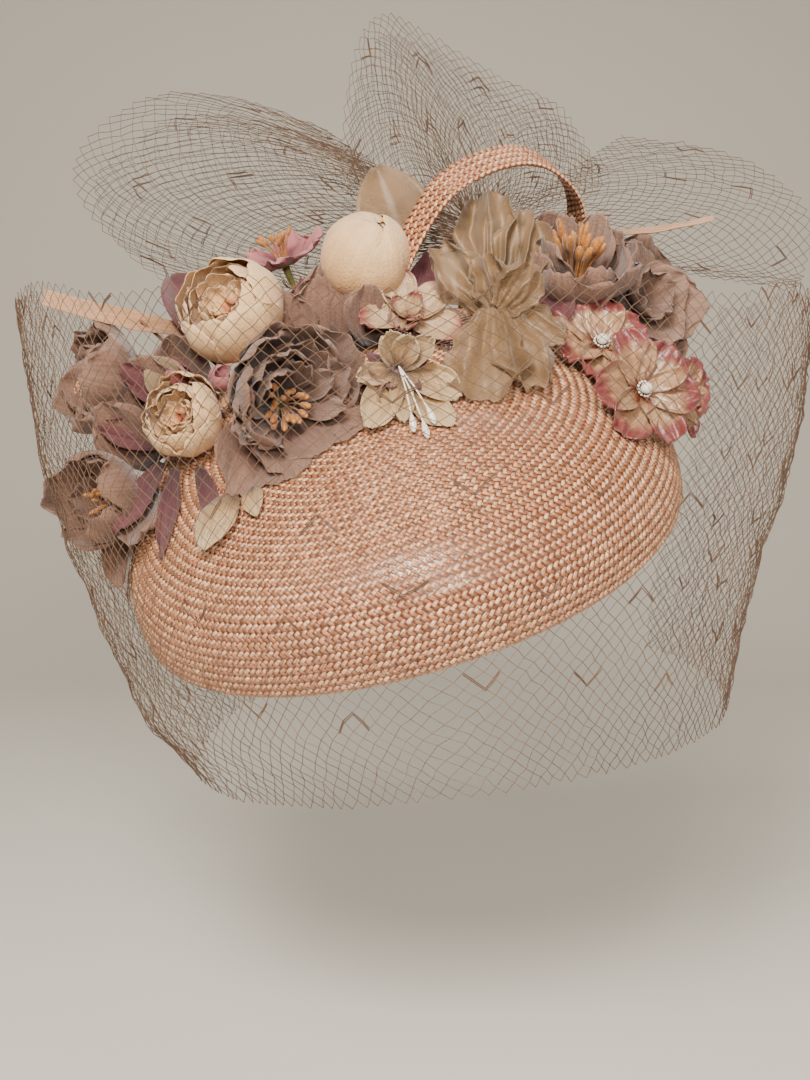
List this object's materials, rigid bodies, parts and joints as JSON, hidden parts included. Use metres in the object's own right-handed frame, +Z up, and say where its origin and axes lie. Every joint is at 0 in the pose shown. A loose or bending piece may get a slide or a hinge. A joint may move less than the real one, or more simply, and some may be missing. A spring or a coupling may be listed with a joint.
{
  "type": "fascinator headpiece",
  "caption": "Tilted saucer hat of woven straw with silk, velvet and organza flowers, braided straw loops and a wrap of diamond-mesh veiling, worn with a hinged comb.",
  "frame": {"origin": "centre of the crown's seat on the head, in the plane of its widest line", "axes": "+Z up as worn, -Y towards the front of the face, +X the wearer's left side"},
  "size_m": [0.2984, 0.2165, 0.279],
  "materials": {
    "woven_straw": "glossy woven parasisal straw",
    "millinery_wire": "satin",
    "lining_silk": "matt",
    "petersham_ribbon": "ribbed ribbon",
    "comb_plastic": "clear-ish gloss",
    "veiling_net": "matt net",
    "stem_green": "matt",
    "pearl_bead": "pearl",
    "cream_silk": "soft matt",
    "stamen_gold": "matt",
    "mauve_silk": "soft matt, creased",
    "pink_edge_velvet": "crushed velvet, pink edges",
    "rose_velvet": "velvet",
    "plum_velvet": "velvet",
    "silk_organza": "sheer, creased",
    "cream_satin": "satin sheen"
  },
  "bodies": {
    "hat": {"back_bloom": "rose_velvet", "back_bloom_heart": "stamen_gold", "centre_peony_heart": "stamen_gold", "centre_peony_inner": "mauve_silk", "centre_peony_petals": "mauve_silk", "centre_peony_stem": "stem_green", "comb_tape_left": "petersham_ribbon", "comb_tape_right": "petersham_ribbon", "cream_bud_petals": "cream_silk", "cream_bud_stem": "stem_green", "crown_lining": "lining_silk", "elastic_tab_left": "petersham_ribbon", "elastic_tab_right": "petersham_ribbon", "far_right_peony": "mauve_silk", "headband_ribbon": "petersham_ribbon", "hydrangea_petal": "silk_organza", "left_peony": "mauve_silk", "left_rose_heart": "cream_silk", "left_rose_petals": "cream_silk", "left_rose_stem": "stem_green", "low_left_peony_heart": "stamen_gold", "low_left_peony_inner": "mauve_silk", "low_left_peony_petals": "mauve_silk", "low_left_peony_stem": "stem_green", "organza_leaf_back": "silk_organza", "organza_ruffle_back": "silk_organza", "organza_ruffle_front": "silk_organza", "pink_buds": "rose_velvet", "pink_satin_blossom": "cream_satin", "plum_leaf": "plum_velvet", "quill_left": "woven_straw", "quill_right": "woven_straw", "right_peony_heart": "stamen_gold", "right_peony_inner": "mauve_silk", "right_peony_petals": "mauve_silk", "right_peony_stem": "stem_green", "rim_wire": "millinery_wire", "satin_bell_petals": "cream_satin", "satin_bell_stamens": "pearl_bead", "satin_bell_stem": "stem_green", "satin_leaf": "cream_satin", "straw_crown": "woven_straw", "straw_loop_left": "woven_straw", "straw_loop_top": "woven_straw", "top_rose_heart": "cream_silk", "top_rose_petals": "cream_silk", "top_rose_stem": "stem_green", "veil_bow_top": "veiling_net", "veil_front": "veiling_net", "veil_gather": "veiling_net", "veil_loop_left": "veiling_net", "veil_wing_right": "veiling_net", "velvet_lower": "pink_edge_velvet", "velvet_lower_bead": "pearl_bead", "velvet_side": "pink_edge_velvet", "velvet_tip": "pink_edge_velvet", "velvet_upper": "pink_edge_velvet", "velvet_upper_bead": "pearl_bead"},
    "comb": {"hair_comb": "comb_plastic"}
  },
  "joints": [
    {"name": "comb_tilt", "type": "hinge", "parent": "hat", "child": "comb", "pos_m": [0.00829, -0.0599, -0.02797], "axis": [0.9588, 0, 0.284], "range_deg": [-35, 15]}
  ]
}
